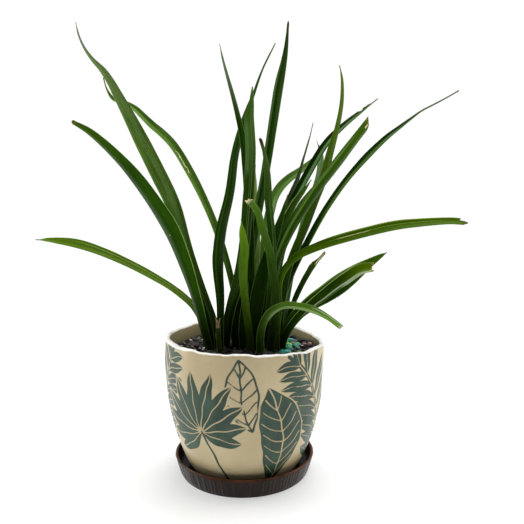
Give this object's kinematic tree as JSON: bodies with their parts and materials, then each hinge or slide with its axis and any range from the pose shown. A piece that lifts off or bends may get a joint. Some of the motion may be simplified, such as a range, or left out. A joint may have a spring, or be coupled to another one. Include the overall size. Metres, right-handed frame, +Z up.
{
  "type": "potted snake plant",
  "caption": "Narrow strap-leaved snake plant in a hand-built glazed pot that stands in a dark fluted saucer.",
  "frame": {"origin": "middle of the saucer's flat underside, on the surface that the plant stands on", "axes": "+Z up, the front of the plant faces -Y, +X to the right as seen from the front"},
  "size_m": [0.3704, 0.1414, 0.3761],
  "materials": {
    "dark_glaze": "glossy dark brown glaze, red-brown at the worn rim",
    "cream_glaze": "satin cream glaze",
    "potting_mix": "rough dark bark mix with coloured gravel",
    "dark_leaf": "satin dark green",
    "mid_leaf": "satin mid green",
    "light_leaf": "satin bright green",
    "grey_leaf": "matte grey green",
    "dry_leaf": "matte dry tan"
  },
  "bodies": {
    "root": {"saucer": "dark_glaze", "pot": "cream_glaze", "soil": "potting_mix", "leaf_tall_left": "mid_leaf", "leaf_broad_left": "dark_leaf", "leaf_scarred_left": "light_leaf", "leaf_low_left": "light_leaf", "leaf_bowed_left": "dark_leaf", "leaf_dried_stub": "dry_leaf", "leaf_cut_centre": "mid_leaf", "leaf_thin_centre": "dark_leaf", "leaf_tallest": "dark_leaf", "leaf_pale_front": "light_leaf", "leaf_yellow_rear": "light_leaf", "leaf_arching_rear": "mid_leaf", "leaf_brown_tipped": "dark_leaf", "leaf_curled_tip": "grey_leaf", "leaf_torn_right": "dark_leaf", "leaf_spike": "dark_leaf", "leaf_split_right": "dark_leaf", "leaf_hidden_tip": "mid_leaf", "leaf_grey_rear": "grey_leaf", "leaf_tall_right": "mid_leaf", "leaf_cut_right": "mid_leaf", "leaf_hair_tip": "dark_leaf", "leaf_long_right": "light_leaf", "leaf_torn_short": "dark_leaf", "leaf_wide_right": "mid_leaf", "leaf_low_right": "mid_leaf", "leaf_arching_front": "light_leaf", "leaf_inner_left": "dark_leaf", "leaf_inner_centre": "dark_leaf", "leaf_inner_front": "dark_leaf", "leaf_inner_broad": "dark_leaf"}
  },
  "joints": []
}
